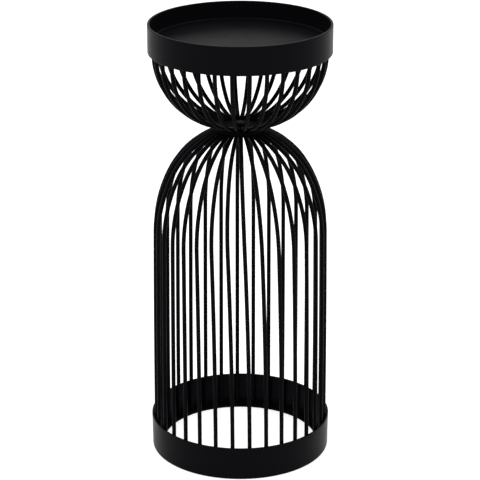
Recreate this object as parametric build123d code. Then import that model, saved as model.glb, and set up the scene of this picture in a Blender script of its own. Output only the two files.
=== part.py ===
from build123d import *
import os
from math import acos, atan2, cos, degrees, hypot, radians, sin

# A wire candlestick: a round tray on a bowl of wires, over a domed cage of wires on a ring.
# Sizes are in millimetres and angles in degrees. The origin is the centre of the footprint.
# The front faces -Y, and azimuths count from the front towards +X.

# Overall: the bowl height counts from the joint at the waist up to the rim
overall_height = 300.0
bowl_height = 70.4

# Tray: a band with a flat plate set inside it
tray_diameter = 121.2
tray_band_height = 19.0
tray_band_thickness = 1.6
tray_depth = 12.4
tray_plate_thickness = 1.2
tray_edge_round = 0.5

# Base: a pressed ring of L section, a little wider at its top edge
base_diameter = 121.8
base_flare = 0.4
base_height = 23.1
base_thickness = 1.2
base_flange_width = 8.0
base_corner_round = 0.8
base_inner_corner_round = 0.4
base_edge_round = 0.35

# Wires: both sets are evenly spaced round the waist
wire_diameter = 2.8
wire_count = 32
wires_per_bowl_node = 2
wire_gap_at_hub = 0.12
cage_start_angle = 1.9
bowl_start_angle = 6.1

# Shape of the cage: a leg, a wide shoulder bend and a tighter crown
leg_inset = 1.1
shoulder_below_waist = 71.5
shoulder_bend_radius = 92.85
shoulder_bend_angle = 26.8

# Hand-bent unevenness: the front legs lean, and some wires crowd together at the back
foot_shift_angle = 4.4
shoulder_shift_front_angle = 1.2
shoulder_shift_side_angle = 3.9
cage_crowding_angle = 2.0
cage_crowding_azimuth = -110.0
bowl_crowding_angle = -1.8
bowl_crowding_azimuth = -165.0

# Shape of the bowl: a short upright end inside the band, then one bend down to the waist
bowl_wire_inset = 0.95
bowl_upright_length = 6.0

# Waist: one disc for the bowl, one for the cage, clamped by a screw and a nut
hub_thickness = 1.2
hub_weld_land = 1.6
screw_diameter = 5.0
screw_head_diameter = 9.0
screw_head_height = 2.0
screw_head_round = 1.2
screw_end_past_nut = 1.0
nut_across_flats = 8.0
nut_height = 4.0

# Clearances
weld_clearance = 0.05
plate_clearance = 0.05
screw_clearance = 0.15
thread_clearance = 0.05

# Sizes that follow from the ones above
wire_radius = wire_diameter / 2
wire_spacing = 360 / wire_count
tray_radius = tray_diameter / 2
tray_inner_radius = tray_radius - tray_band_thickness
skirt_height = overall_height - tray_band_height
tray_floor_height = overall_height - tray_depth
tray_underside = tray_floor_height - tray_plate_thickness
base_radius = base_diameter / 2
base_inner_radius = base_radius - base_thickness
waist_height = overall_height - bowl_height
hub_top = waist_height + hub_thickness
hub_underside = waist_height - hub_thickness
hub_end_radius = (wire_diameter + wire_gap_at_hub) / (2 * sin(radians(wire_spacing / 2)))
hub_radius = hub_end_radius + hub_weld_land

# Cage wires: the feet stand in the corner of the base ring, the other ends lie under the waist
foot_radius = base_inner_radius - weld_clearance - wire_radius
foot_height = base_thickness + base_inner_corner_round + weld_clearance
shoulder_radius = foot_radius - leg_inset
shoulder_height = waist_height - shoulder_below_waist
cage_end_height = hub_underside - weld_clearance - wire_radius

# Bowl wires: the bend's lowest point would be level with the end that lies on the waist
bowl_radius = tray_inner_radius - bowl_wire_inset - wire_radius
bowl_wire_top = tray_underside - weld_clearance
bowl_bend_height = bowl_wire_top - bowl_upright_length
bowl_end_height = hub_top + weld_clearance + wire_radius
bowl_bend_radius = bowl_bend_height - bowl_end_height


def polar(radius, height, azimuth):
    """Point at a radius and a height, at an azimuth counted from the front."""
    turn = radians(azimuth)
    return Vector(radius * sin(turn), -radius * cos(turn), height)


def crowded(azimuth, amount, centre):
    """Azimuth of a wire that crowds by an amount, which is largest at a centre azimuth."""
    nearness = max(cos(radians(azimuth - centre)), 0)
    return azimuth + amount * nearness**3


def wire_along(pieces):
    """Round wire swept along pieces of line and arc that run smoothly into each other."""
    path = Wire([piece.edge() for piece in pieces])
    section = Plane(origin=path @ 0, z_dir=path % 0) * Circle(wire_radius)
    return sweep(section, path=path)


def turned_ring(points, rounds):
    """Ring turned from a closed outline of (radius, height) corners, each with its own round."""
    outline = FilletPolyline(*points, radius=rounds, close=True)
    return revolve(Plane.XZ * make_face(outline), Axis.Z)


def disc(radius, low, high, hole_radius=0.0):
    """Flat disc between two heights, with an optional hole in its middle."""
    shape = Circle(radius)
    if hole_radius > 0:
        shape -= Circle(hole_radius)
    return Pos(0, 0, low) * extrude(shape, high - low)


def tray_band():
    """Upright band round the tray, with rounded edges. Its lower part is a skirt over the wires."""
    corners = [
        (tray_radius, skirt_height),
        (tray_radius, overall_height),
        (tray_inner_radius, overall_height),
        (tray_inner_radius, skirt_height),
    ]
    return turned_ring(corners, [tray_edge_round] * len(corners))


def tray_plate():
    """Flat plate that carries the candle, welded inside the band."""
    return disc(tray_inner_radius - plate_clearance, tray_underside, tray_floor_height)


def base_ring():
    """Pressed ring of L section: a slightly flared wall and a flange turned inwards at the floor."""
    flange_edge = base_radius - base_flange_width
    wall_top = base_radius + base_flare
    corners = [
        (flange_edge, 0),
        (base_radius, 0),
        (wall_top, base_height),
        (wall_top - base_thickness, base_height),
        (base_inner_radius, base_thickness),
        (flange_edge, base_thickness),
    ]
    rounds = [base_edge_round] * len(corners)
    rounds[1] = base_corner_round
    rounds[4] = base_inner_corner_round
    return turned_ring(corners, rounds)


def cage_wire(azimuth):
    """One wire of the cage: an upright foot, a leg that leans, a shoulder bend and a crown."""
    frontness = (1 + cos(radians(azimuth))) / 2
    sideness = sin(radians(azimuth)) ** 2
    shoulder_shift_angle = shoulder_shift_front_angle + shoulder_shift_side_angle * sideness
    leg_azimuth = crowded(azimuth, cage_crowding_angle, cage_crowding_azimuth)
    foot_azimuth = leg_azimuth + foot_shift_angle * frontness
    shoulder_azimuth = leg_azimuth + shoulder_shift_angle * frontness
    foot = polar(foot_radius, foot_height, foot_azimuth)
    shoulder = polar(shoulder_radius, shoulder_height, shoulder_azimuth)
    end = polar(hub_end_radius, cage_end_height, azimuth)

    # The bend and the crown lie in one plane, which holds the top of the leg and the wire's end
    leg = TangentArc(foot, shoulder, tangent=(0, 0, 1))
    rise = leg % 1
    reach = end - shoulder
    inwards = (reach - rise * reach.dot(rise)).normalized()

    def on_bend(angle):
        along = rise * sin(radians(angle))
        across = inwards * (1 - cos(radians(angle)))
        return shoulder + (along + across) * shoulder_bend_radius

    bend_end = on_bend(shoulder_bend_angle)
    bend = ThreePointArc(shoulder, on_bend(shoulder_bend_angle / 2), bend_end)
    crown = TangentArc(bend_end, end, tangent=bend % 1)
    return wire_along([leg, bend, crown])


def bowl_wire(azimuth):
    """One wire of the bowl: an upright end, a bend inwards and a straight tail on the waist."""
    top_azimuth = crowded(azimuth, bowl_crowding_angle, bowl_crowding_azimuth)
    top = polar(bowl_radius, bowl_wire_top, top_azimuth)
    bend_start = polar(bowl_radius, bowl_bend_height, top_azimuth)
    end = polar(hub_end_radius, bowl_end_height, azimuth)
    reach = Vector(end.X - bend_start.X, end.Y - bend_start.Y, 0)
    inwards = reach.normalized()

    # The tail touches the bend's circle, so it leaves the bend at this angle past the upright
    past_centre = reach.length - bowl_bend_radius
    end_distance = hypot(past_centre, bowl_bend_radius)
    end_angle = 90 + degrees(atan2(past_centre, bowl_bend_radius))
    bend_angle = end_angle - degrees(acos(bowl_bend_radius / end_distance))

    def on_bend(angle):
        across = inwards * (1 - cos(radians(angle)))
        down = Vector(0, 0, -sin(radians(angle)))
        return bend_start + (across + down) * bowl_bend_radius

    bend_end = on_bend(bend_angle)
    upright = Line(top, bend_start)
    bend = ThreePointArc(bend_start, on_bend(bend_angle / 2), bend_end)
    return wire_along([upright, bend, Line(bend_end, end)])


def hub_screw():
    """Round-headed screw through both hub discs. Its head lies inside the bowl."""
    head = disc(screw_head_diameter / 2, hub_top, hub_top + screw_head_height)
    head = fillet(head.edges().group_by(Axis.Z)[-1], screw_head_round)
    shank_end = hub_underside - nut_height - screw_end_past_nut
    return head + disc(screw_diameter / 2, shank_end, hub_top)


def hub_nut():
    """Hexagon nut under the lower hub disc."""
    shape = RegularPolygon(nut_across_flats / 2, 6, major_radius=False)
    shape -= Circle(screw_diameter / 2 + thread_clearance)
    return Pos(0, 0, hub_underside - nut_height) * extrude(shape, nut_height)


def azimuths(first):
    """Azimuths of one set of wires where they meet the waist."""
    return [first + wire_spacing * index for index in range(wire_count)]


def all_nodes():
    """Every node of the candlestick by name, with its solids."""
    screw_hole_radius = screw_diameter / 2 + screw_clearance
    nodes = {
        "tray_band": [tray_band()],
        "tray_plate": [tray_plate()],
        "base_ring": [base_ring()],
        "upper_hub_disc": [disc(hub_radius, waist_height, hub_top, screw_hole_radius)],
        "lower_hub_disc": [disc(hub_radius, hub_underside, waist_height, screw_hole_radius)],
        "hub_screw": [hub_screw()],
        "hub_nut": [hub_nut()],
    }
    for number, azimuth in enumerate(azimuths(cage_start_angle), start=1):
        nodes[f"cage_wire_{number:02d}"] = [cage_wire(azimuth)]
    bowl_azimuths = azimuths(bowl_start_angle)
    for first in range(0, wire_count, wires_per_bowl_node):
        group = bowl_azimuths[first : first + wires_per_bowl_node]
        name = f"bowl_wires_{first // wires_per_bowl_node + 1:02d}"
        nodes[name] = [bowl_wire(azimuth) for azimuth in group]
    return nodes


os.makedirs("parts", exist_ok=True)
for node, solids in all_nodes().items():
    shape = solids[0] if len(solids) == 1 else Compound(children=solids)
    export_step(shape, f"parts/{node}.step")
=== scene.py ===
"""Looks of a tall wire candlestick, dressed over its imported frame.

A shallow round tray stands on a bowl of wires, the bowl on a domed cage of wires, and the cage
in a base ring. Everything has one finish, a black satin powder coat. Lengths are in metres, the
origin is the centre of the footprint, and the front faces -Y.
"""
import logging
from collections.abc import Iterator
from dataclasses import dataclass, field
from enum import Enum
from math import radians

import bpy
import numpy as np
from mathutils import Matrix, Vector


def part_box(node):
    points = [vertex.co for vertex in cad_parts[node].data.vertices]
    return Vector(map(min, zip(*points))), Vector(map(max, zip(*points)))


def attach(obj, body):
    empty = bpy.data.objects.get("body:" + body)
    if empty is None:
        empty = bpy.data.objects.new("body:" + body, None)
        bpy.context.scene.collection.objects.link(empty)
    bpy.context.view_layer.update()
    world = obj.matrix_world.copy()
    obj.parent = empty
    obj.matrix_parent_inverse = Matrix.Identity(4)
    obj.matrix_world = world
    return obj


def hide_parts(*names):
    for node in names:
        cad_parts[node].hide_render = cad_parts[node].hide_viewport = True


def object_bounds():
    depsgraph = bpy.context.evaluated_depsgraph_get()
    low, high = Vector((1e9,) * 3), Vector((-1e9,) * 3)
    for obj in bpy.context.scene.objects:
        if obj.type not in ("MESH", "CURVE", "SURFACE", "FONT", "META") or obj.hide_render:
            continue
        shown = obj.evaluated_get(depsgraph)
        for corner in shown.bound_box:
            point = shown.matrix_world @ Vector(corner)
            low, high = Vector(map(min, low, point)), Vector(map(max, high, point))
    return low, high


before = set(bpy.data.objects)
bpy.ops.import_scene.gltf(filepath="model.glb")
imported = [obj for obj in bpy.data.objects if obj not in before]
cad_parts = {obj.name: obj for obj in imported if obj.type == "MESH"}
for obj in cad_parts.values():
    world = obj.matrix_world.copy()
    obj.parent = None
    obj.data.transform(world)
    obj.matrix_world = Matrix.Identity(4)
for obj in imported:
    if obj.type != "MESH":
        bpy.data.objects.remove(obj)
cad_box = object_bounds()

Array = np.ndarray
log = logging.getLogger("candlestick")
BODY = "root"
UPWARD = np.array([0.0, 0.0, 1.0])


# Shapes as whole arrays


@dataclass(frozen=True)
class Surface:
    """A closed skin: points, faces, and a normal at each point where the shading is smooth.

    Args:
        points: One row of x, y, z per point.
        faces: Arrays of point numbers, one array for quads and one for triangles.
        normals: One outward unit vector per point, or None for flat facets.
    """

    points: Array
    faces: tuple[Array, ...]
    normals: Array | None = None


def unit(vectors: Array) -> Array:
    """Vectors along the last axis, divided by their lengths."""
    return vectors / np.linalg.norm(vectors, axis=-1, keepdims=True)


def lofted(rings: Array, normals: Array | None, closed: bool) -> Surface:
    """Skin over a stack of rings of points.

    Point j of ring i is joined to its neighbours j + 1 and i + 1 by a quad. A closed stack also
    joins its last ring to its first. An open one ends in two fans of triangles, each round the
    mean of its end ring.

    Args:
        rings: Points by ring, by place round the ring, by x, y, z.
        normals: Outward unit vectors in the same order, or None for flat facets.
        closed: Whether the last ring joins the first.

    Returns:
        The closed skin.
    """
    rows, columns = rings.shape[:2]
    index = np.arange(rows * columns).reshape(rows, columns)
    points = rings.reshape(-1, 3)
    flat_normals = None if normals is None else normals.reshape(-1, 3)
    stack = np.vstack([index, index[:1]]) if closed else index
    onward = np.roll(stack, -1, axis=1)
    quads = np.stack([stack[:-1], onward[:-1], onward[1:], stack[1:]], axis=-1).reshape(-1, 4)
    if closed:
        return Surface(points, (quads,), flat_normals)

    first_pole = np.full(columns, rows * columns)
    first_fan = np.stack([first_pole, onward[0], index[0]], axis=-1)
    last_fan = np.stack([first_pole + 1, index[-1], onward[-1]], axis=-1)
    points = np.vstack([points, rings[[0, -1]].mean(axis=1)])
    if flat_normals is not None:
        flat_normals = np.vstack([flat_normals, unit(normals[[0, -1]].mean(axis=1))])
    return Surface(points, (quads, np.vstack([first_fan, last_fan])), flat_normals)


def joined(surfaces: list[Surface]) -> Surface:
    """Several skins as one, with the point numbers of each counted on from the one before.

    Args:
        surfaces: The skins.

    Returns:
        One skin, smooth only if all of them are.
    """
    starts = np.cumsum([0] + [len(surface.points) for surface in surfaces])
    faces = [part + start for surface, start in zip(surfaces, starts) for part in surface.faces]
    smooth = all(surface.normals is not None for surface in surfaces)
    normals = np.vstack([surface.normals for surface in surfaces]) if smooth else None
    return Surface(np.vstack([surface.points for surface in surfaces]), tuple(faces), normals)


def rounded_outline(
    corners: list[tuple[float, float, float]], closed: bool, steps: int = 7
) -> Array:
    """Outline of (radius, height) corners with each corner replaced by an arc.

    An arc starts and ends where its circle touches the two sides. Its outward normal turns
    evenly from one side's normal to the other's, and each point lies along it from the circle's
    centre, outwards at a convex corner and inwards at a hollow one.

    Args:
        corners: Radius, height and round of each corner, anticlockwise. An open outline's first
            and last corner lie on the axis and get no arc.
        closed: Whether the last corner joins the first.
        steps: Points on each arc.

    Returns:
        Rows of radius, height, normal's radial part, normal's upward part.
    """
    places = np.array([corner[:2] for corner in corners])
    rounds = np.array([corner[2] for corner in corners])
    if closed:
        before, after = np.roll(places, 1, axis=0), np.roll(places, -1, axis=0)
    else:
        before, places, after, rounds = places[:-2], places[1:-1], places[2:], rounds[1:-1]
    arriving, leaving = unit(places - before), unit(after - places)
    cross = arriving[:, 0] * leaving[:, 1] - arriving[:, 1] * leaving[:, 0]
    turn = np.arctan2(cross, (arriving * leaving).sum(axis=1))
    outward = np.stack([arriving[:, 1], -arriving[:, 0]], axis=-1)
    reach = rounds * np.tan(np.abs(turn) / 2)
    centres = places - arriving * reach[:, None] - outward * (np.sign(turn) * rounds)[:, None]

    angle = turn[:, None] * np.linspace(0, 1, steps)[None]
    cos, sin = np.cos(angle), np.sin(angle)
    normal = np.stack(
        [
            outward[:, None, 0] * cos - outward[:, None, 1] * sin,
            outward[:, None, 0] * sin + outward[:, None, 1] * cos,
        ],
        axis=-1,
    )
    arcs = centres[:, None] + (np.sign(turn) * rounds)[:, None, None] * normal
    return np.concatenate([arcs, normal], axis=-1).reshape(-1, 4)


def turned(outline: Array, closed: bool, segments: int = 240) -> Surface:
    """Skin turned about the upright axis.

    The point at radius r and height z goes to r cos(a), r sin(a), z for even angles a, and its
    normal turns with it.

    Args:
        outline: Rows from rounded_outline.
        closed: Whether the outline is a ring clear of the axis.
        segments: Places round the axis.

    Returns:
        The closed skin.
    """
    angle = np.linspace(0, 2 * np.pi, segments, endpoint=False)
    spin = np.stack([np.cos(angle), np.sin(angle), np.zeros(segments)], axis=-1)
    points = outline[:, None, 0:1] * spin + outline[:, None, 1:2] * UPWARD
    normals = outline[:, None, 2:3] * spin + outline[:, None, 3:4] * UPWARD
    return lofted(points, normals, closed)


def polar(radius: float, height: float, azimuth: float) -> Array:
    """Point at a radius and a height, at an azimuth in degrees from the front towards +X."""
    turn = radians(azimuth)
    return np.array([radius * np.sin(turn), -radius * np.cos(turn), height])


@dataclass(frozen=True)
class Path:
    """Centre line of a wire: points, and the direction of travel at each."""

    points: Array
    directions: Array

    def then(self, other: "Path") -> "Path":
        """This path with another one carried on from its end."""
        points = np.vstack([self.points[:-1], other.points])
        return Path(points, np.vstack([self.directions[:-1], other.directions]))


def straight(start: Array, end: Array) -> Path:
    """Straight run between two points."""
    direction = unit(end - start)
    return Path(np.stack([start, end]), np.stack([direction, direction]))


def arc(
    start: Array, direction: Array, inward: Array, radius: float, angle: float, steps: int
) -> Path:
    """Circular arc that leaves a point in a direction and turns towards its inward side.

    After an angle a it has moved radius * sin(a) along the direction and radius * (1 - cos(a))
    inwards, and travels cos(a) along the direction and sin(a) inwards.

    Args:
        start: First point.
        direction: Unit vector of travel there.
        inward: Unit vector square to it, towards the arc's centre.
        radius: Bend radius.
        angle: Whole turn, in radians.
        steps: Number of points.

    Returns:
        The arc as a path.
    """
    turn = np.linspace(0, angle, steps)[:, None]
    points = start + radius * (np.sin(turn) * direction + (1 - np.cos(turn)) * inward)
    return Path(points, np.cos(turn) * direction + np.sin(turn) * inward)


def arc_to(start: Array, direction: Array, end: Array, steps: int) -> Path:
    """Circular arc that leaves a point in a direction and ends at another point.

    With the chord's share along the direction and its share across, the arc turns by twice the
    chord's own angle, and its radius is the chord squared over twice the share across.

    Args:
        start: First point.
        direction: Unit vector of travel there.
        end: Last point.
        steps: Number of points.

    Returns:
        The arc as a path.
    """
    chord = end - start
    along = chord @ direction
    across = chord - along * direction
    width = np.linalg.norm(across)
    radius = chord @ chord / (2 * width)
    return arc(start, direction, across / width, radius, 2 * np.arctan2(width, along), steps)


def rod(path: Path, radius: float, edge_round: float, sides: int = 18) -> Surface:
    """Round rod along a path, with a small round at the rim of each end.

    A ring's point is the centre plus the radius times (cos(b) * side + sin(b) * lift), where side
    is square to the path and as near as it can be to the first bend's plane normal, and lift is
    square to both. In an end's round, the radius grows and the normal leans away from the end
    face as a quarter circle does.

    Args:
        path: Centre line.
        radius: Radius of the rod.
        edge_round: Radius of the rounded rims.
        sides: Points round the rod.

    Returns:
        The closed skin.
    """
    quarter = np.linspace(0, np.pi / 2, 4)
    inset = edge_round * (1 - np.cos(quarter))[:, None]
    start, end = path.points[0], path.points[-1]
    first, last = path.directions[0], path.directions[-1]
    centres = np.vstack([start + inset * first, path.points[1:-1], end - inset[::-1] * last])
    bulk = len(path.points) - 2
    travel = np.vstack([np.tile(first, (4, 1)), path.directions[1:-1], np.tile(last, (4, 1))])
    share = np.concatenate([np.sin(quarter), np.ones(bulk), np.sin(quarter)[::-1]])[:, None, None]
    lean = np.concatenate([-np.cos(quarter), np.zeros(bulk), np.cos(quarter)[::-1]])[:, None, None]

    plane_normal = unit(np.cross(path.directions[0], path.points[-1] - path.points[0]))
    side = unit(plane_normal - (travel @ plane_normal)[:, None] * travel)
    lift = np.cross(travel, side)
    angle = np.linspace(0, 2 * np.pi, sides, endpoint=False)[None, :, None]
    spoke = np.cos(angle) * side[:, None] + np.sin(angle) * lift[:, None]
    rings = centres[:, None] + (radius - edge_round + edge_round * share) * spoke
    return lofted(rings, share * spoke + lean * travel[:, None], closed=False)


def bead(centre: Array, axes: Array, rows: int = 6, columns: int = 10) -> Surface:
    """Smooth blob of weld metal: an ellipsoid.

    A point is the centre plus sin(u)cos(v), sin(u)sin(v) and cos(u) shares of the three half
    axes, and its normal leans with the same shares over the squared axis lengths.

    Args:
        centre: Middle of the blob.
        axes: Three square half axes, right-handed, one per row.
        rows: Rings between the poles.
        columns: Points round each ring.

    Returns:
        The closed skin.
    """
    u = np.linspace(0, np.pi, rows + 2)[1:-1, None]
    v = np.linspace(0, 2 * np.pi, columns, endpoint=False)[None]
    across, sideways = np.sin(u) * np.cos(v), -np.sin(u) * np.sin(v)
    shares = np.stack(np.broadcast_arrays(across, sideways, np.cos(u)), axis=-1)
    normals = unit(shares @ (axes / (axes**2).sum(axis=1, keepdims=True)))
    return lofted(centre + shares @ axes, normals, closed=False)


def weld_bead(centre: Array, azimuth: float, half_sizes: tuple[float, float, float]) -> Surface:
    """Blob of weld metal that is set square to an azimuth.

    Args:
        centre: Middle of the blob.
        azimuth: Azimuth that it faces, in degrees.
        half_sizes: Half its size outwards, sideways and upwards.

    Returns:
        The closed skin.
    """
    deep, wide, high = half_sizes
    outward, sideways = polar(1, 0, azimuth), polar(1, 0, azimuth + 90)
    return bead(centre, np.stack([outward * deep, sideways * wide, UPWARD * high]))


def lumpy_ring(
    radius: float, height: float, thickness: float, lumps: int, depth: float, turn: float
) -> Surface:
    """Weld that runs right round, with a lump at each wire.

    It is a torus whose thickness swells by depth * cos(lumps * (azimuth - turn)).

    Args:
        radius: Radius of the torus's centre line.
        height: Height of the centre line.
        thickness: Mean radius of its section.
        lumps: Number of swellings.
        depth: How much the section's radius swells and shrinks.
        turn: Azimuth of one swelling, in degrees.

    Returns:
        The closed skin.
    """
    azimuth = np.linspace(0, 2 * np.pi, lumps * 8, endpoint=False)[:, None, None]
    around = np.linspace(0, 2 * np.pi, 12, endpoint=False)[None, :, None]
    outward = np.concatenate([np.sin(azimuth), -np.cos(azimuth), np.zeros_like(azimuth)], axis=-1)
    section = thickness + depth * np.cos(lumps * (azimuth - radians(turn)))
    spoke = np.cos(around) * outward - np.sin(around) * UPWARD
    rings = radius * outward + height * UPWARD + section * spoke
    along = np.roll(rings, -1, axis=0) - np.roll(rings, 1, axis=0)
    across = np.roll(rings, -1, axis=1) - np.roll(rings, 1, axis=1)
    return lofted(rings, unit(np.cross(across, along)), closed=True)


# Finishes


class Texture(Enum):
    """How coarse the coat's own texture is."""

    FINE = 0.00045
    COARSE = 0.0008


@dataclass(frozen=True)
class PowderCoat:
    """Black satin powder coat.

    Args:
        name: Name of the material.
        colour: Colour of the coat.
        texture: Size of its fine grain.
        roughness: Mean roughness.
        roughness_spread: How far the roughness wanders, patch by patch.
        gloss: Specular level, which is low because the coat is matted.
        gloss_tint: Colour of the reflection seen straight on.
        bump: Strength of the grain's relief.
        relief: Height of the grain.
    """

    name: str
    colour: tuple[float, float, float] = (0.0033, 0.0030, 0.0039)
    texture: Texture = Texture.FINE
    roughness: float = 0.34
    roughness_spread: float = 0.04
    gloss: float = 0.028
    gloss_tint: tuple[float, float, float] = (0.94, 0.90, 1.0)
    bump: float = 0.3
    relief: float = 0.00001

    def material(self) -> bpy.types.Material:
        """Material of this coat: the shared texture feeds colour, roughness and bump.

        Returns:
            The material.
        """
        material = bpy.data.materials.new(self.name)
        material.use_nodes = True
        nodes, links = material.node_tree.nodes, material.node_tree.links
        shader = nodes["Principled BSDF"]
        shader.inputs["Specular IOR Level"].default_value = self.gloss
        shader.inputs["Specular Tint"].default_value = (*self.gloss_tint, 1.0)
        coat = nodes.new("ShaderNodeGroup")
        coat.node_tree = coat_texture()
        coat.inputs["Colour"].default_value = (*self.colour, 1.0)
        coat.inputs["Grain Scale"].default_value = 1 / self.texture.value
        coat.inputs["Roughness"].default_value = self.roughness
        coat.inputs["Spread"].default_value = self.roughness_spread
        bump = added(nodes, "ShaderNodeBump", {"Strength": self.bump, "Distance": self.relief})
        links.new(coat.outputs["Colour"], shader.inputs["Base Color"])
        links.new(coat.outputs["Roughness"], shader.inputs["Roughness"])
        links.new(coat.outputs["Grain"], bump.inputs["Height"])
        links.new(bump.outputs["Normal"], shader.inputs["Normal"])
        return material


def added(nodes: bpy.types.Nodes, kind: str, values: dict[str, float]) -> bpy.types.Node:
    """Adds a node and sets some of its inputs.

    Args:
        nodes: Nodes of the material, group or world.
        kind: The node's type.
        values: Value of each input by its name.

    Returns:
        The node.
    """
    node = nodes.new(kind)
    for socket, value in values.items():
        node.inputs[socket].default_value = value
    return node


def coat_texture() -> bpy.types.ShaderNodeTree:
    """Node group of the coat's texture, made once and shared.

    Fine noise is the orange-peel grain, which also moves the colour a little. Broad noise, in
    patches of about 15 mm, moves the roughness.

    Returns:
        The group, with a Colour, a Roughness and a Grain output.
    """
    name = "coat_texture"
    if name in bpy.data.node_groups:
        return bpy.data.node_groups[name]
    group = bpy.data.node_groups.new(name, "ShaderNodeTree")
    face = group.interface
    face.new_socket("Colour", in_out="INPUT", socket_type="NodeSocketColor")
    for socket in ("Grain Scale", "Roughness", "Spread"):
        face.new_socket(socket, in_out="INPUT", socket_type="NodeSocketFloat")
    face.new_socket("Colour", in_out="OUTPUT", socket_type="NodeSocketColor")
    face.new_socket("Roughness", in_out="OUTPUT", socket_type="NodeSocketFloat")
    face.new_socket("Grain", in_out="OUTPUT", socket_type="NodeSocketFloat")

    nodes, links = group.nodes, group.links
    given, result = nodes.new("NodeGroupInput"), nodes.new("NodeGroupOutput")
    place = nodes.new("ShaderNodeTexCoord")
    grain = added(nodes, "ShaderNodeTexNoise", {"Detail": 3.0, "Roughness": 0.6})
    patches = added(nodes, "ShaderNodeTexNoise", {"Scale": 65.0, "Detail": 4.0})
    links.new(place.outputs["Object"], grain.inputs["Vector"])
    links.new(place.outputs["Object"], patches.inputs["Vector"])
    links.new(given.outputs["Grain Scale"], grain.inputs["Scale"])

    drift = added(nodes, "ShaderNodeMapRange", {"From Min": 0.3, "From Max": 0.7, "To Min": -1.0})
    links.new(patches.outputs["Fac"], drift.inputs["Value"])
    roughness = nodes.new("ShaderNodeMath")
    roughness.operation = "MULTIPLY_ADD"
    links.new(drift.outputs["Result"], roughness.inputs[0])
    links.new(given.outputs["Spread"], roughness.inputs[1])
    links.new(given.outputs["Roughness"], roughness.inputs[2])
    tone = added(nodes, "ShaderNodeMapRange", {"To Min": 0.85, "To Max": 1.15})
    links.new(grain.outputs["Fac"], tone.inputs["Value"])
    shade = nodes.new("ShaderNodeHueSaturation")
    links.new(given.outputs["Colour"], shade.inputs["Color"])
    links.new(tone.outputs["Result"], shade.inputs["Value"])

    links.new(shade.outputs["Color"], result.inputs["Colour"])
    links.new(roughness.outputs["Value"], result.inputs["Roughness"])
    links.new(grain.outputs["Fac"], result.inputs["Grain"])
    return group


SHEET_COAT = PowderCoat("coat_on_sheet")
WIRE_COAT = PowderCoat("coat_on_wire", roughness=0.38, gloss=0.02, bump=0.15)
WELD_COAT = PowderCoat("coat_on_weld", texture=Texture.COARSE, roughness=0.45, bump=0.5)
HUB_COAT = PowderCoat("coat_on_hub", roughness=0.5, gloss=0.012)
FASTENER_COAT = PowderCoat("coat_on_fastener", roughness=0.42, gloss=0.015)


def piece(name: str, shape: Surface, coat: PowderCoat, slot: str, *nodes: str) -> bpy.types.Object:
    """Puts a skin into the scene as a finished piece.

    Args:
        name: Name of the piece.
        shape: Its skin.
        coat: Its finish.
        slot: The record's material slot; it is not used.
        nodes: The solids that it stands for.

    Returns:
        The piece, riding on the stand.
    """
    mesh = bpy.data.meshes.new(name)
    faces = [face for part in shape.faces for face in part.tolist()]
    mesh.from_pydata(shape.points.tolist(), [], faces)
    if shape.normals is not None:
        mesh.polygons.foreach_set("use_smooth", np.ones(len(faces), dtype=bool))
        mesh.normals_split_custom_set_from_vertices(shape.normals.tolist())
    mesh.materials.append(bpy.data.materials.get(coat.name) or coat.material())
    made = bpy.data.objects.new(name, mesh)
    bpy.context.scene.collection.objects.link(made)
    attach(made, BODY)
    if nodes:
        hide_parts(*nodes)
    return made


# Sub-assemblies


@dataclass(frozen=True)
class Tray:
    """Round band with a flat plate set down inside it."""

    radius: float = 0.0606
    band_height: float = 0.019
    band_thickness: float = 0.0016
    depth: float = 0.0124
    plate_thickness: float = 0.0012
    edge_round: float = 0.0005
    floor_round: float = 0.0012
    plate_gap: float = 0.00002
    plate_edge_round: float = 0.0001
    seam_width: float = 0.0001
    seam_top_round: float = 0.00002
    seam_rise: float = 1.1
    top: float = field(default_factory=lambda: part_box("tray_band")[1].z)

    @property
    def inner_radius(self) -> float:
        """Radius inside the band."""
        return self.radius - self.band_thickness

    @property
    def floor(self) -> float:
        """Height of the plate's upper face."""
        return self.top - self.depth

    @property
    def underside(self) -> float:
        """Height of the plate's lower face."""
        return self.floor - self.plate_thickness

    def band(self) -> Surface:
        """Band with its four edges rounded.

        Returns:
            The closed skin.
        """
        low = self.top - self.band_height
        corners = [
            (self.inner_radius, low, self.edge_round),
            (self.radius, low, self.edge_round),
            (self.radius, self.top, self.edge_round),
            (self.inner_radius, self.top, self.edge_round),
        ]
        return turned(rounded_outline(corners, closed=True), closed=True)

    def plate(self) -> Surface:
        """Plate with the small hollow round of its seam where it meets the band.

        Returns:
            The closed skin, whose seam stands higher than its own round by the rise's factor.
        """
        seam_top = self.floor + self.floor_round * self.seam_rise
        edge = self.inner_radius - self.plate_gap
        seam = edge - self.seam_width
        corners = [
            (0, self.underside, 0),
            (edge, self.underside, self.plate_edge_round),
            (edge, seam_top, self.seam_top_round),
            (seam, seam_top, self.seam_top_round),
            (seam, self.floor, self.floor_round),
            (0, self.floor, 0),
        ]
        return turned(rounded_outline(corners, closed=False), closed=False)

    def build(self) -> Iterator[bpy.types.Object]:
        """The tray's two pieces."""
        yield piece("tray_band_rolled", self.band(), SHEET_COAT, "tray", "tray_band")
        yield piece("tray_plate_seated", self.plate(), SHEET_COAT, "tray", "tray_plate")


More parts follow.
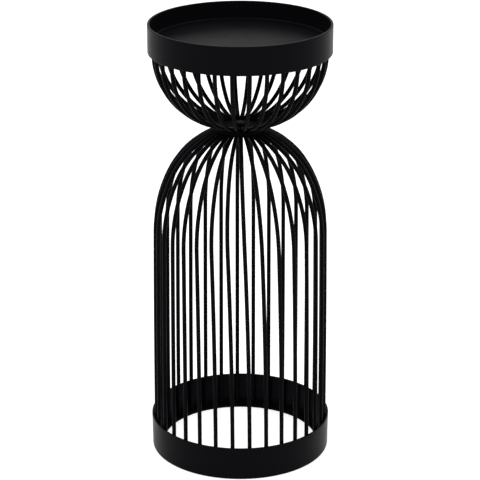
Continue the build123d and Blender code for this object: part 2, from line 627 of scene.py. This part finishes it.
@dataclass(frozen=True)
class Base:
    """Pressed ring of L section that the cage stands in."""

    radius: float = 0.0609
    flare: float = 0.0004
    height: float = 0.0231
    thickness: float = 0.0012
    flange_width: float = 0.008
    outer_corner_round: float = 0.0008
    inner_corner_round: float = 0.0004
    edge_round: float = 0.00035

    @property
    def inner_radius(self) -> float:
        """Radius inside the foot of the wall."""
        return self.radius - self.thickness

    def ring(self) -> Surface:
        """Ring with a slightly flared wall and a flange turned inwards at the floor.

        Returns:
            The closed skin.
        """
        flange_edge = self.radius - self.flange_width
        wall_top = self.radius + self.flare
        corners = [
            (flange_edge, 0, self.edge_round),
            (self.radius, 0, self.outer_corner_round),
            (wall_top, self.height, self.edge_round),
            (wall_top - self.thickness, self.height, self.edge_round),
            (self.inner_radius, self.thickness, self.inner_corner_round),
            (flange_edge, self.thickness, self.edge_round),
        ]
        return turned(rounded_outline(corners, closed=True), closed=True)

    def build(self) -> Iterator[bpy.types.Object]:
        """The base's one piece."""
        yield piece("base_ring_pressed", self.ring(), SHEET_COAT, "base", "base_ring")


@dataclass(frozen=True)
class Wires:
    """What the two sets of wires share."""

    radius: float = 0.0014
    count: int = 32
    gap_at_hub: float = 0.00012
    end_round: float = 0.0003
    clearance: float = 0.00005
    collar_thickness: float = 0.0011
    collar_swell: float = 0.0002
    collar_inset: float = 0.0002
    collar_offset: float = 0.0006

    @property
    def spacing(self) -> float:
        """Angle from one wire to the next, in degrees."""
        return 360 / self.count

    @property
    def hub_end_radius(self) -> float:
        """Radius where the wires' ends almost touch each other."""
        return (2 * self.radius + self.gap_at_hub) / (2 * np.sin(radians(self.spacing / 2)))

    def azimuths(self, first: float) -> list[float]:
        """Azimuths of one set where it meets the waist, in degrees."""
        return [first + self.spacing * number for number in range(self.count)]

    def collar(self, height: float, turn: float) -> Surface:
        """Weld right round one set's ends, with a lump at each wire.

        Args:
            height: Height of its middle.
            turn: Azimuth of the set's first wire, in degrees.

        Returns:
            The closed skin.
        """
        radius = self.hub_end_radius - self.collar_inset
        return lumpy_ring(
            radius, height, self.collar_thickness, self.count, self.collar_swell, turn
        )


def crowded(azimuth: float, amount: float, centre: float) -> float:
    """Azimuth of a wire that crowds by an amount, which is largest at a centre azimuth."""
    return azimuth + amount * max(np.cos(radians(azimuth - centre)), 0) ** 3


@dataclass(frozen=True)
class Waist:
    """Two discs back to back, clamped by a screw and a nut."""

    wires: Wires
    height: float = 0.2296
    thickness: float = 0.0012
    weld_land: float = 0.0016
    hole_radius: float = 0.00265
    edge_round: float = 0.00025
    screw_radius: float = 0.0025
    head_radius: float = 0.0045
    head_height: float = 0.002
    head_round: float = 0.0012
    head_seat_round: float = 0.0001
    thread_pitch: float = 0.0008
    thread_depth: float = 0.00035
    screw_end_past_nut: float = 0.001
    nut_across_flats: float = 0.008
    nut_height: float = 0.004
    nut_chamfer: float = 0.0005
    nut_face_share: float = 0.98

    @property
    def top(self) -> float:
        """Height of the upper disc's upper face."""
        return self.height + self.thickness

    @property
    def underside(self) -> float:
        """Height of the lower disc's lower face."""
        return self.height - self.thickness

    def disc(self, low: float, high: float) -> Surface:
        """Flat ring between two heights.

        Args:
            low: Height of its lower face.
            high: Height of its upper face.

        Returns:
            The closed skin.
        """
        radius = self.wires.hub_end_radius + self.weld_land
        corners = [
            (self.hole_radius, low, self.edge_round),
            (radius, low, self.edge_round),
            (radius, high, self.edge_round),
            (self.hole_radius, high, self.edge_round),
        ]
        return turned(rounded_outline(corners, closed=True), closed=True, segments=128)

    def screw(self) -> Surface:
        """Domed head on a threaded shank.

        The shank's radius falls from the full one by the thread's depth in a helical ripple: the
        share is (1 - cos(2 pi z / pitch - a)) / 2 at height z and angle a.

        Returns:
            The skins of the head and the shank as one.
        """
        head = [
            (0, self.top, 0),
            (self.head_radius, self.top, self.head_seat_round),
            (self.head_radius, self.top + self.head_height, self.head_round),
            (0, self.top + self.head_height, 0),
        ]
        low = self.underside - self.nut_height - self.screw_end_past_nut
        height = np.linspace(low, self.top, 96)[:, None, None]
        angle = np.linspace(0, 2 * np.pi, 48, endpoint=False)[None, :, None]
        ripple = (1 - np.cos(2 * np.pi * height / self.thread_pitch - angle)) / 2
        point = np.minimum((height - low) / self.thread_depth, 1.0)
        radius = self.screw_radius - self.thread_depth * (1 - point + ripple * point)
        spin = np.concatenate([np.cos(angle), np.sin(angle), np.zeros_like(angle)], axis=-1)
        rings = radius * spin + height * UPWARD
        across = np.roll(rings, -1, axis=1) - np.roll(rings, 1, axis=1)
        normals = unit(np.cross(across, np.gradient(rings, axis=0)))
        dome = turned(rounded_outline(head, closed=False), closed=False, segments=96)
        return joined([dome, lofted(rings, normals, closed=False)])

    def nut(self) -> Surface:
        """Hexagon nut with its corners chamfered.

        At angle a the flats stand at half the width over cos(a), with a folded into the 30
        degrees on each side of a flat's middle. A cone at each end cuts the corners back.

        Returns:
            The closed skin, in flat facets.
        """
        half_width = self.nut_across_flats / 2
        angle = np.linspace(0, 2 * np.pi, 72, endpoint=False)
        folded = np.mod(angle + np.pi / 6, np.pi / 3) - np.pi / 6
        flats = half_width / np.cos(folded)
        depth = np.array([0, self.nut_chamfer, self.nut_height - self.nut_chamfer, self.nut_height])
        from_end = np.minimum(depth, self.nut_height - depth)
        widening = half_width * (1 / np.cos(np.pi / 6) - self.nut_face_share) / self.nut_chamfer
        cone = half_width * self.nut_face_share + from_end * widening
        outer = np.minimum(flats[None], cone[:, None])
        bore = np.full((2, len(angle)), self.screw_radius + self.wires.clearance)
        radius = np.vstack([bore[:1], outer, bore[1:]])[::-1]
        height = self.underside - np.concatenate([[0], depth, [self.nut_height]])[::-1]
        level = np.broadcast_to(height[:, None], radius.shape)
        rings = np.stack([radius * np.cos(angle), radius * np.sin(angle), level], axis=-1)
        return lofted(rings, None, closed=True)

    def build(self) -> Iterator[bpy.types.Object]:
        """The waist's four pieces."""
        upper = self.disc(self.height, self.top)
        lower = self.disc(self.underside, self.height)
        yield piece("upper_disc_stamped", upper, HUB_COAT, "hub_disc", "upper_hub_disc")
        yield piece("lower_disc_stamped", lower, HUB_COAT, "hub_disc", "lower_hub_disc")
        yield piece("waist_screw_threaded", self.screw(), FASTENER_COAT, "fastener", "hub_screw")
        yield piece("waist_nut_chamfered", self.nut(), FASTENER_COAT, "fastener", "hub_nut")


@dataclass(frozen=True)
class Bowl:
    """Wires from inside the tray's band down to the waist."""

    tray: Tray
    wires: Wires
    waist: Waist
    turn: float = 6.1
    inset: float = 0.00095
    upright_length: float = 0.006
    crowding: float = -1.8
    crowding_azimuth: float = -165.0
    wires_per_piece: int = 2
    weld: tuple[float, float, float] = (0.0021, 0.0017, 0.0009)

    @property
    def radius(self) -> float:
        """Radius of the upright ends' centre lines."""
        return self.tray.inner_radius - self.inset - self.wires.radius

    @property
    def end_height(self) -> float:
        """Height of the wires' centre lines on the waist."""
        return self.waist.top + self.wires.clearance + self.wires.radius

    def top_azimuth(self, azimuth: float) -> float:
        """Azimuth of a wire's upper end."""
        return crowded(azimuth, self.crowding, self.crowding_azimuth)

    def path(self, azimuth: float) -> Path:
        """Centre line of one wire: an upright end, a bend inwards and a straight tail.

        The bend's lowest point would be level with the wire's end. The tail runs from that end
        to where it touches the bend's circle.

        Args:
            azimuth: Azimuth of the wire's end at the waist, in degrees.

        Returns:
            The path from the tray down.
        """
        top_azimuth = self.top_azimuth(azimuth)
        top_height = self.tray.underside - self.wires.clearance
        top = polar(self.radius, top_height, top_azimuth)
        bend_start = polar(self.radius, top_height - self.upright_length, top_azimuth)
        end = polar(self.wires.hub_end_radius, self.end_height, azimuth)
        bend_radius = bend_start[2] - end[2]
        reach = (end - bend_start) * np.array([1, 1, 0])
        inward = unit(reach)
        past_centre = np.linalg.norm(reach) - bend_radius
        end_angle = np.pi / 2 + np.arctan2(past_centre, bend_radius)
        turn = end_angle - np.arccos(bend_radius / np.hypot(past_centre, bend_radius))
        bend = arc(bend_start, -UPWARD, inward, bend_radius, turn, steps=30)
        return straight(top, bend_start).then(bend).then(straight(bend.points[-1], end))

    def build(self) -> Iterator[bpy.types.Object]:
        """Pieces of the bowl: pairs of wires, and the welds at their two ends.

        Yields:
            Each piece as it is made.
        """
        wires, azimuths = self.wires, self.wires.azimuths(self.turn)
        rods = [rod(self.path(azimuth), wires.radius, wires.end_round) for azimuth in azimuths]
        for first in range(0, len(rods), self.wires_per_piece):
            number = first // self.wires_per_piece + 1
            pair = joined(rods[first : first + self.wires_per_piece])
            name, node = f"bowl_rods_{number:02d}", f"bowl_wires_{number:02d}"
            yield piece(name, pair, WIRE_COAT, "bowl_wire", node)
        beads = []
        for top_azimuth in map(self.top_azimuth, azimuths):
            centre = polar(self.radius, self.tray.underside, top_azimuth)
            beads.append(weld_bead(centre, top_azimuth, self.weld))
        yield piece("bowl_top_welds", joined(beads), WELD_COAT, "bowl_wire")
        collar = wires.collar(self.end_height - wires.collar_offset, self.turn)
        yield piece("bowl_waist_weld", collar, WELD_COAT, "bowl_wire")


@dataclass(frozen=True)
class Cage:
    """Wires from the base ring up over a domed shoulder to the waist."""

    base: Base
    wires: Wires
    waist: Waist
    turn: float = 1.9
    leg_inset: float = 0.0011
    shoulder_below_waist: float = 0.0715
    shoulder_bend_radius: float = 0.09285
    shoulder_bend_angle: float = 26.8
    foot_shift: float = 4.4
    shoulder_shift_front: float = 1.2
    shoulder_shift_side: float = 3.9
    crowding: float = 2.0
    crowding_azimuth: float = -110.0
    weld: tuple[float, float, float] = (0.0009, 0.0019, 0.0032)

    @property
    def foot_radius(self) -> float:
        """Radius of the feet's centre lines, against the base ring's wall."""
        return self.base.inner_radius - self.wires.clearance - self.wires.radius

    @property
    def foot_height(self) -> float:
        """Height of the wires' lower ends, on the base ring's flange."""
        return self.base.thickness + self.base.inner_corner_round + self.wires.clearance

    @property
    def end_height(self) -> float:
        """Height of the wires' centre lines under the waist."""
        return self.waist.underside - self.wires.clearance - self.wires.radius

    def shifted(self, azimuth: float, shift: float) -> float:
        """Azimuth of a place on a wire's leg, which is shifted in full only at the front."""
        frontness = (1 + np.cos(radians(azimuth))) / 2
        return crowded(azimuth, self.crowding, self.crowding_azimuth) + shift * frontness

    def path(self, azimuth: float) -> Path:
        """Centre line of one wire: a leg that leans, a wide shoulder bend and a tighter crown.

        Args:
            azimuth: Azimuth of the wire's end at the waist, in degrees.

        Returns:
            The path from the foot up.
        """
        sideness = np.sin(radians(azimuth)) ** 2
        shoulder_shift = self.shoulder_shift_front + self.shoulder_shift_side * sideness
        foot = polar(self.foot_radius, self.foot_height, self.shifted(azimuth, self.foot_shift))
        shoulder_radius = self.foot_radius - self.leg_inset
        shoulder_height = self.waist.height - self.shoulder_below_waist
        shoulder = polar(shoulder_radius, shoulder_height, self.shifted(azimuth, shoulder_shift))
        end = polar(self.wires.hub_end_radius, self.end_height, azimuth)

        leg = arc_to(foot, UPWARD, shoulder, steps=14)
        rise = leg.directions[-1]
        reach = end - shoulder
        inward = unit(reach - (reach @ rise) * rise)
        bend_angle = radians(self.shoulder_bend_angle)
        bend = arc(shoulder, rise, inward, self.shoulder_bend_radius, bend_angle, steps=12)
        crown = arc_to(bend.points[-1], bend.directions[-1], end, steps=24)
        return leg.then(bend).then(crown)

    def build(self) -> Iterator[bpy.types.Object]:
        """Pieces of the cage: the wires, and the welds at their two ends.

        Yields:
            Each piece as it is made.
        """
        weld_radius = self.base.inner_radius - self.weld[0] / 2
        weld_height = self.foot_height + self.weld[2]
        beads = []
        for number, azimuth in enumerate(self.wires.azimuths(self.turn), start=1):
            wire = rod(self.path(azimuth), self.wires.radius, self.wires.end_round)
            name, node = f"cage_rod_{number:02d}", f"cage_wire_{number:02d}"
            yield piece(name, wire, WIRE_COAT, "cage_wire", node)
            foot_azimuth = self.shifted(azimuth, self.foot_shift)
            centre = polar(weld_radius, weld_height, foot_azimuth)
            beads.append(weld_bead(centre, foot_azimuth, self.weld))
        yield piece("cage_foot_welds", joined(beads), WELD_COAT, "cage_wire")
        collar = self.wires.collar(self.end_height + self.wires.collar_offset, self.turn)
        yield piece("cage_waist_weld", collar, WELD_COAT, "cage_wire")


# Studio


@dataclass(frozen=True)
class SoftLamp:
    """Square soft lamp that points at the stand."""

    name: str
    place: tuple[float, float, float]
    size: float
    power: float

    def build(self, target: Array) -> None:
        """Adds the lamp.

        Args:
            target: Point that it faces.
        """
        light = bpy.data.lights.new(self.name, "AREA")
        light.shape = "SQUARE"
        light.size = self.size
        light.energy = self.power
        lamp = bpy.data.objects.new(self.name, light)
        lamp.location = self.place
        lamp.rotation_mode = "QUATERNION"
        lamp.rotation_quaternion = (Vector(target) - lamp.location).to_track_quat("-Z", "Y")
        bpy.context.scene.collection.objects.link(lamp)


@dataclass(frozen=True)
class Studio:
    """White surroundings, a pale floor, soft lamps and the photograph's viewpoint."""

    camera_distance: float = 1.2691
    camera_height: float = 0.6254
    camera_pitch: float = 20.561
    lens: float = 150.5
    sensor: float = 36.0
    right_shift: float = 0.2 / 480
    nearest: float = 0.05
    farthest: float = 100.0
    floor_size: float = 12.0
    floor_colour: float = 0.8
    floor_glow: float = 0.62
    room_level: float = 0.55
    lamps: tuple[SoftLamp, ...] = (
        SoftLamp("lamp_left", (-1.1, -0.9, 1.3), 0.9, 9.0),
        SoftLamp("lamp_right", (1.3, -0.5, 1.0), 0.9, 6.0),
        SoftLamp("lamp_top", (0.0, 0.6, 1.8), 1.2, 9.0),
    )

    def camera(self) -> None:
        """Camera at the photograph's distance, height and pitch, with no blur."""
        data = bpy.data.cameras.new("camera")
        data.lens = self.lens
        data.sensor_width = self.sensor
        data.shift_x = -self.right_shift
        data.clip_start = self.nearest
        data.clip_end = self.farthest
        camera = bpy.data.objects.new("camera", data)
        camera.location = (0.0, -self.camera_distance, self.camera_height)
        camera.rotation_euler = (radians(90 - self.camera_pitch), 0.0, 0.0)
        bpy.context.scene.collection.objects.link(camera)
        bpy.context.scene.camera = camera

    def floor(self) -> None:
        """Flat floor. Lamps shade it, and what the camera and gloss see of it is lifted to white."""
        half = self.floor_size / 2
        corners = [(-half, -half, 0), (half, -half, 0), (half, half, 0), (-half, half, 0)]
        mesh = bpy.data.meshes.new("floor")
        mesh.from_pydata(corners, [], [(0, 1, 2, 3)])
        material = bpy.data.materials.new("floor_paper")
        material.use_nodes = True
        nodes, links = material.node_tree.nodes, material.node_tree.links
        shader = nodes["Principled BSDF"]
        shader.inputs["Base Color"].default_value = (*[self.floor_colour] * 3, 1.0)
        shader.inputs["Roughness"].default_value = 1.0
        shader.inputs["Specular IOR Level"].default_value = 0.0
        shader.inputs["Emission Color"].default_value = (1.0, 1.0, 1.0, 1.0)
        links.new(seen_directly(nodes, links, self.floor_glow), shader.inputs["Emission Strength"])
        mesh.materials.append(material)
        floor = bpy.data.objects.new("floor", mesh)
        bpy.context.scene.collection.objects.link(floor)

    def room(self) -> None:
        """World that is white where it is seen and softer as a light."""
        world = bpy.data.worlds.new("room")
        world.use_nodes = True
        nodes, links = world.node_tree.nodes, world.node_tree.links
        background = nodes["Background"]
        background.inputs["Color"].default_value = (1.0, 1.0, 1.0, 1.0)
        level = nodes.new("ShaderNodeMapRange")
        level.inputs["To Min"].default_value = self.room_level
        links.new(seen_directly(nodes, links, 1.0), level.inputs["Value"])
        links.new(level.outputs["Result"], background.inputs["Strength"])
        bpy.context.scene.world = world

    def build(self) -> None:
        """Camera, floor, room and lamps."""
        self.camera()
        self.floor()
        self.room()
        middle = np.mean([list(corner) for corner in cad_box], axis=0)
        for lamp in self.lamps:
            lamp.build(middle)
        bpy.context.scene.view_settings.view_transform = "Standard"


def seen_directly(
    nodes: bpy.types.Nodes, links: bpy.types.NodeLinks, level: float
) -> bpy.types.NodeSocket:
    """Level for what the camera, gloss and glass see, and 0 for what only lights other things.

    Args:
        nodes: Nodes of the material or world.
        links: Its links.
        level: The level for rays that see it.

    Returns:
        The socket that carries the level.
    """
    path = nodes.new("ShaderNodeLightPath")
    camera_or_gloss = nodes.new("ShaderNodeMath")
    camera_or_gloss.operation = "MAXIMUM"
    links.new(path.outputs["Is Camera Ray"], camera_or_gloss.inputs[0])
    links.new(path.outputs["Is Glossy Ray"], camera_or_gloss.inputs[1])
    seen = nodes.new("ShaderNodeMath")
    seen.operation = "MAXIMUM"
    links.new(camera_or_gloss.outputs["Value"], seen.inputs[0])
    links.new(path.outputs["Is Transmission Ray"], seen.inputs[1])
    scaled = nodes.new("ShaderNodeMath")
    scaled.operation = "MULTIPLY"
    scaled.inputs[1].default_value = level
    links.new(seen.outputs["Value"], scaled.inputs[0])
    return scaled.outputs["Value"]


def main() -> None:
    """Builds the sub-assemblies from top to bottom, then the studio."""
    logging.basicConfig(level=logging.INFO, format="%(message)s")
    tray, base, wires = Tray(), Base(), Wires()
    waist = Waist(wires)
    assemblies = (tray, Bowl(tray, wires, waist), waist, Cage(base, wires, waist), base)
    for assembly in assemblies:
        for made in assembly.build():
            log.info("%s: %s, %d faces", type(assembly).__name__, made.name, len(made.data.polygons))
    Studio().build()


if __name__ == "__main__":
    main()
